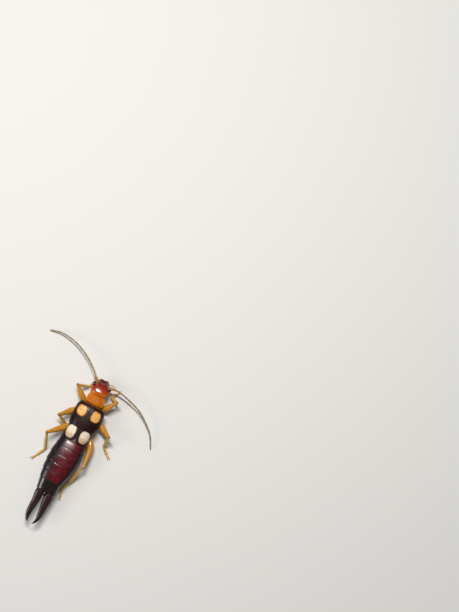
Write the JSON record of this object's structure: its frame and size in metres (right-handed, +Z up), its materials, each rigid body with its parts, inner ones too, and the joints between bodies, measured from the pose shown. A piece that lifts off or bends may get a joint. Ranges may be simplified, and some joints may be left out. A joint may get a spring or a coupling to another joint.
{
  "type": "earwig",
  "caption": "Life-size still model of a female earwig standing on its feet, folded spotted wings, banded abdomen and straight slim forceps.",
  "frame": {"origin": "middle of the insect's footprint box, on the floor that it stands on", "axes": "+Y runs back along the body from the head to the tips of the forceps, +Z is up, and +X is the insect's left"},
  "size_m": [0.012, 0.0152, 0.0019],
  "materials": {
    "eye": "glossy, near black",
    "head_red": "smooth glossy red-brown plate",
    "antenna_brown": "satin brown",
    "leg_amber": "satin amber",
    "pronotum_orange": "smooth orange, thin paler edge",
    "underbody_brown": "satin brown",
    "wing_cover_black": "glossy black-brown, one large orange spot each",
    "wing_tip_cream": "satin cream spot with dark edge",
    "tail_black": "glossy black",
    "abdomen_crimson": "glossy dark crimson, black-brown sides",
    "forceps_brown": "glossy dark red-brown"
  },
  "bodies": {
    "root": {"eye_left": "eye", "eye_right": "eye", "head": "head_red", "labrum": "head_red", "mandible_left": "head_red", "mandible_right": "head_red", "pronotum": "pronotum_orange", "prothorax": "underbody_brown", "neck": "underbody_brown", "tegmen_left": "wing_cover_black", "tegmen_right": "wing_cover_black", "squama_left": "wing_tip_cream", "squama_right": "wing_tip_cream", "thorax": "underbody_brown", "abdomen_1": "abdomen_crimson", "abdomen_2": "abdomen_crimson", "abdomen_3": "abdomen_crimson", "abdomen_4": "abdomen_crimson", "abdomen_5": "abdomen_crimson", "abdomen_6": "abdomen_crimson", "abdomen_7": "abdomen_crimson", "abdomen_8": "tail_black", "pygidium": "tail_black", "forceps_left": "forceps_brown", "forceps_right": "forceps_brown", "antenna_left_scape": "antenna_brown", "antenna_left_inner": "antenna_brown", "antenna_left_outer": "antenna_brown", "antenna_right_scape": "antenna_brown", "antenna_right_inner": "antenna_brown", "antenna_right_outer": "antenna_brown", "palp_left": "leg_amber", "palp_right": "leg_amber", "leg_front_left_coxa": "leg_amber", "leg_front_left_femur": "leg_amber", "leg_front_left_tibia": "leg_amber", "leg_front_left_tarsus": "leg_amber", "leg_front_right_coxa": "leg_amber", "leg_front_right_femur": "leg_amber", "leg_front_right_tibia": "leg_amber", "leg_front_right_tarsus": "leg_amber", "leg_middle_left_coxa": "leg_amber", "leg_middle_left_femur": "leg_amber", "leg_middle_left_tibia": "leg_amber", "leg_middle_left_tarsus": "leg_amber", "leg_middle_right_coxa": "leg_amber", "leg_middle_right_femur": "leg_amber", "leg_middle_right_tibia": "leg_amber", "leg_middle_right_tarsus": "leg_amber", "leg_hind_left_coxa": "leg_amber", "leg_hind_left_femur": "leg_amber", "leg_hind_left_tibia": "leg_amber", "leg_hind_left_tarsus": "leg_amber", "leg_hind_right_coxa": "leg_amber", "leg_hind_right_femur": "leg_amber", "leg_hind_right_tibia": "leg_amber", "leg_hind_right_tarsus": "leg_amber"}
  },
  "joints": []
}
